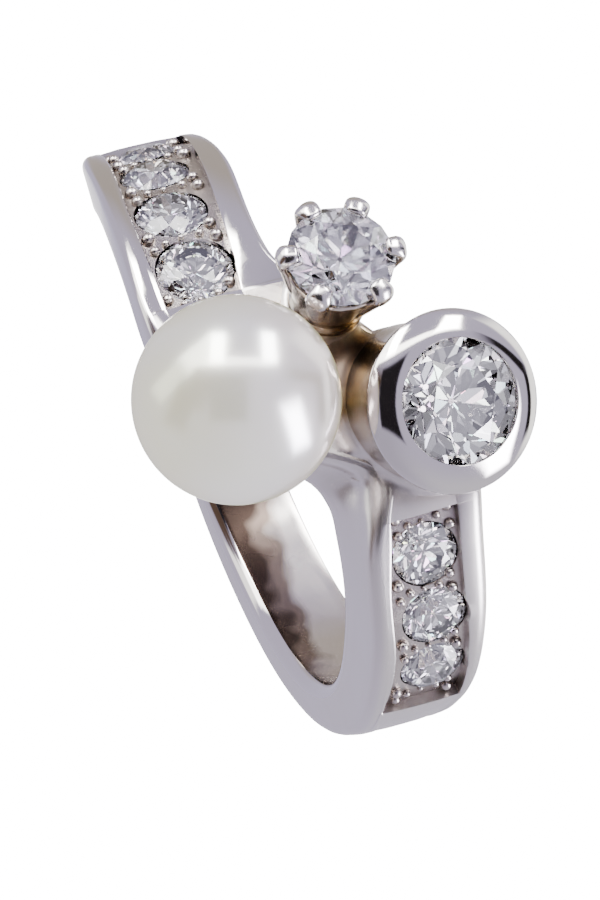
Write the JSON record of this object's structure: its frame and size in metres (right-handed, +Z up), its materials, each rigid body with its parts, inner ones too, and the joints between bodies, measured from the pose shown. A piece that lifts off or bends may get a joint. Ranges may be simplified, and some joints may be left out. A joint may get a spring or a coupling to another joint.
{
  "type": "pearl and diamond ring",
  "caption": "Crossover finger ring lying on its side: a pearl, a bezel-set stone and a claw-set stone on top, small stones sunk in both shoulders.",
  "frame": {"origin": "centre of the bounding box at its bottom, on the surface that the ring lies on", "axes": "+Z up from the surface that the ring lies on; -Y towards the head with the pearl; +X towards the shoulder that leads to the pearl. The finger's axis leans about 13 degrees from +Z."},
  "size_m": [0.0224, 0.0274, 0.0135],
  "materials": {
    "white_gold": "polished, rhodium-plated white gold",
    "pearl": "satin lustre nacre, creamy white",
    "diamond": "polished facets"
  },
  "bodies": {
    "root": {"ring_mount": "white_gold", "pearl": "pearl", "bezel_diamond": "diamond", "claw_diamond": "diamond", "upper_diamond_1": "diamond", "upper_diamond_2": "diamond", "upper_diamond_3": "diamond", "upper_diamond_4": "diamond", "lower_diamond_1": "diamond", "lower_diamond_2": "diamond", "lower_diamond_3": "diamond"}
  },
  "joints": []
}
